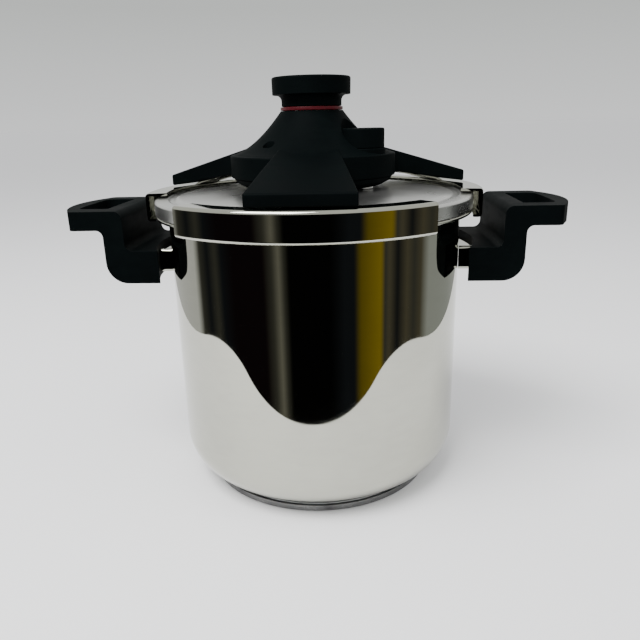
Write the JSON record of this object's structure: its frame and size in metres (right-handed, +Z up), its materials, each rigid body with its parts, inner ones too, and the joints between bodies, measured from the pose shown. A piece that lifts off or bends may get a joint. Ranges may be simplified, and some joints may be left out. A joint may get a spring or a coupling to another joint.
{
  "type": "stovetop pressure cooker",
  "caption": "Stovetop pressure cooker: polished steel pot with side handles, and a lid locked by sliding jaws that a turning knob draws in under the rim.",
  "frame": {"origin": "centre of the flat underside of the base, on the pot's axis", "axes": "+Z up along the pot's axis, +X towards the right handle, -Y towards the front jaw"},
  "size_m": [0.382, 0.2493, 0.3096],
  "materials": {
    "polished_steel": "mirror polished",
    "plain_steel": "satin",
    "base_steel": "satin, darkened by heat",
    "aluminium": "satin",
    "black_plastic": "satin",
    "red_plastic": "semi gloss",
    "silicone": "matt",
    "nylon": "satin"
  },
  "bodies": {
    "pot": {"pot_body": "polished_steel", "base_cap": "base_steel", "base_core": "aluminium", "handle_right": "black_plastic", "handle_bracket_right": "polished_steel", "handle_screw_right": "plain_steel", "handle_nut_right": "plain_steel", "handle_left": "black_plastic", "handle_bracket_left": "polished_steel", "handle_screw_left": "plain_steel", "handle_nut_left": "plain_steel"},
    "lid": {"lid_shell": "polished_steel", "lid_gasket": "silicone", "center_post": "plain_steel", "post_washer": "plain_steel", "post_nut": "plain_steel", "hub_base": "black_plastic", "guide_plate": "plain_steel", "hub_cover": "black_plastic", "shaft_bush": "nylon", "hub_screw_1": "plain_steel", "hub_screw_2": "plain_steel", "hub_screw_3": "plain_steel", "valve_body": "plain_steel", "valve_seal": "silicone", "valve_nut": "plain_steel", "indicator_body": "plain_steel", "indicator_nut": "plain_steel", "safety_body": "plain_steel", "safety_nut": "plain_steel", "safety_cap": "plain_steel"},
    "knob": {"knob": "black_plastic", "knob_cap": "black_plastic", "knob_screw_1": "plain_steel", "knob_screw_2": "plain_steel", "knob_screw_3": "plain_steel", "red_ring": "red_plastic", "drive_shaft": "plain_steel", "cam_plate": "plain_steel"},
    "front_jaw": {"jaw_front": "polished_steel", "jaw_pin_front": "plain_steel"},
    "right_jaw": {"jaw_right": "polished_steel", "jaw_pin_right": "plain_steel"},
    "left_jaw": {"jaw_left": "polished_steel", "jaw_pin_left": "plain_steel"},
    "selector": {"valve_selector": "black_plastic"},
    "poppet": {"valve_poppet": "plain_steel", "valve_spring": "plain_steel"},
    "indicator": {"pressure_pin": "plain_steel", "pin_seal": "silicone"},
    "safety": {"safety_plunger": "plain_steel", "safety_spring": "plain_steel"}
  },
  "joints": [
    {"name": "lid_lift", "type": "slide", "parent": "pot", "child": "lid", "axis": [0, 0, 1], "range_m": [0, 0.12]},
    {"name": "knob_turn", "type": "hinge", "parent": "lid", "child": "knob", "pos_m": [0, 0, 0.29], "axis": [0, 0, -1], "range_deg": [0, 90]},
    {"name": "front_jaw_slide", "type": "slide", "parent": "lid", "child": "front_jaw", "axis": [0, 1, 0], "range_m": [0, 0.0046]},
    {"name": "right_jaw_slide", "type": "slide", "parent": "lid", "child": "right_jaw", "axis": [-0.866, -0.5, 0], "range_m": [0, 0.0046]},
    {"name": "left_jaw_slide", "type": "slide", "parent": "lid", "child": "left_jaw", "axis": [0.866, -0.5, 0], "range_m": [0, 0.0046]},
    {"name": "selector_turn", "type": "hinge", "parent": "lid", "child": "selector", "pos_m": [0.03811, -0.022, 0.27], "axis": [0, 0, -1], "range_deg": [0, 120]},
    {"name": "poppet_lift", "type": "slide", "parent": "lid", "child": "poppet", "axis": [0, 0, 1], "range_m": [0, 0.0025], "stiffness_N_per_m": 300, "springref_m": -0.004, "deforming": ["valve_spring"]},
    {"name": "indicator_rise", "type": "slide", "parent": "lid", "child": "indicator", "axis": [0, 0, 1], "range_m": [0, 0.0035]},
    {"name": "safety_lift", "type": "slide", "parent": "lid", "child": "safety", "axis": [0, 0, 1], "range_m": [0, 0.0015], "stiffness_N_per_m": 900, "springref_m": -0.004, "deforming": ["safety_spring"]}
  ],
  "couplings": [
    {"joint": "front_jaw_slide", "follows": "knob_turn", "m_per_rad": 0.002928},
    {"joint": "right_jaw_slide", "follows": "knob_turn", "m_per_rad": 0.002928},
    {"joint": "left_jaw_slide", "follows": "knob_turn", "m_per_rad": 0.002928}
  ]
}
